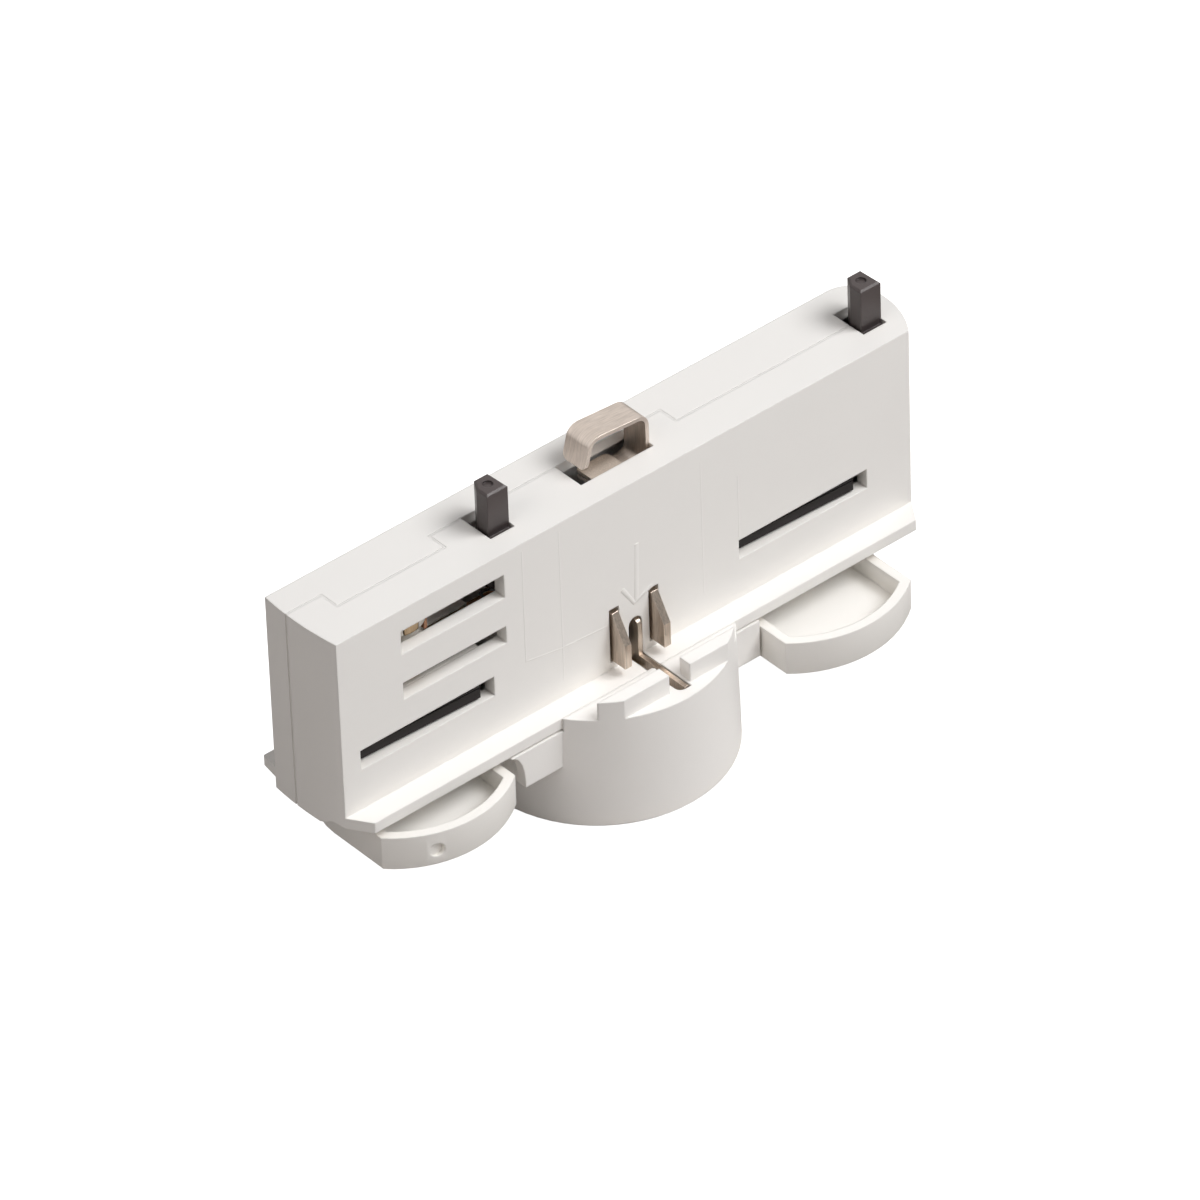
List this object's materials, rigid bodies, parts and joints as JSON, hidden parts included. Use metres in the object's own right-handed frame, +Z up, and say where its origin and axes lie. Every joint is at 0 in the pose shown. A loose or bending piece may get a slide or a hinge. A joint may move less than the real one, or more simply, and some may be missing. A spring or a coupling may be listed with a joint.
{
  "type": "track light adapter",
  "caption": "Track light adapter: slotted moulded housing with flange, round stem foot, turning lock levers, sprung interlock pins and a sprung earth bow.",
  "frame": {"origin": "middle of the object's box at the bottom of the foot", "axes": "+X along the housing from the contact lever to the lock lever, -Y out of the slotted front face, +Z up into the track"},
  "size_m": [0.1074, 0.0406, 0.0556],
  "materials": {
    "white_housing": "fine moulded satin",
    "white_foot": "fine moulded satin",
    "white_lever": "fine moulded satin",
    "white_rotor": "moulded satin",
    "black_plastic": "moulded satin",
    "nickel": "nickel plated strip",
    "bronze": "rolled spring bronze",
    "copper": "rolled copper strip",
    "brass": "turned",
    "steel": "zinc plated",
    "spring_steel": "bright drawn"
  },
  "bodies": {
    "housing": {"housing_front": "white_housing", "housing_rear": "white_housing", "foot": "white_foot", "stem_bush": "brass", "stem_nut": "steel", "housing_screw_1": "steel", "housing_screw_2": "steel", "housing_screw_3": "steel", "housing_screw_4": "steel", "foot_screw_left": "steel", "foot_screw_right": "steel", "earth_claws": "nickel", "earth_strip": "nickel", "earth_bow_plate": "nickel", "line_terminal": "brass", "line_terminal_screw": "steel", "neutral_terminal": "brass", "neutral_terminal_screw": "steel", "earth_terminal": "brass", "earth_terminal_screw": "steel", "line_strip": "copper", "neutral_strip": "copper", "detent_spring_left": "spring_steel", "detent_spring_right": "spring_steel"},
    "contact_control": {"lever_left": "white_lever", "lever_screw_left": "steel", "lock_cam_left": "black_plastic", "contact_rotor": "white_rotor", "contact_carrier": "black_plastic", "phase_contact_upper": "bronze", "phase_contact_lower": "bronze", "neutral_contact": "bronze"},
    "lock_control": {"lever_right": "white_lever", "lever_screw_right": "steel", "lock_cam_right": "black_plastic", "lock_shaft": "white_rotor"},
    "pin_left": {"interlock_pin_left": "black_plastic", "pin_spring_left": "spring_steel"},
    "pin_right": {"interlock_pin_right": "black_plastic", "pin_spring_right": "spring_steel"},
    "bow": {"earth_bow": "nickel", "bow_spring": "spring_steel"}
  },
  "joints": [
    {"name": "contact_lever_turn", "type": "hinge", "parent": "housing", "child": "contact_control", "pos_m": [-0.03788, 0.00052, 0.0152], "axis": [0, 0, 1], "range_deg": [-90, 0]},
    {"name": "lock_lever_turn", "type": "hinge", "parent": "housing", "child": "lock_control", "pos_m": [0.03067, 0.00052, 0.0152], "axis": [0, 0, 1], "range_deg": [0, 90]},
    {"name": "pin_left_press", "type": "slide", "parent": "housing", "child": "pin_left", "axis": [0, 0, 1], "range_m": [-0.006, 0], "stiffness_N_per_m": 200, "springref_m": 0.004, "deforming": ["pin_spring_left"]},
    {"name": "pin_right_press", "type": "slide", "parent": "housing", "child": "pin_right", "axis": [0, 0, 1], "range_m": [-0.006, 0], "stiffness_N_per_m": 200, "springref_m": 0.004, "deforming": ["pin_spring_right"]},
    {"name": "earth_bow_press", "type": "slide", "parent": "housing", "child": "bow", "axis": [0, 0, 1], "range_m": [-0.0048, 0], "stiffness_N_per_m": 400, "springref_m": 0.003, "deforming": ["bow_spring"]}
  ]
}
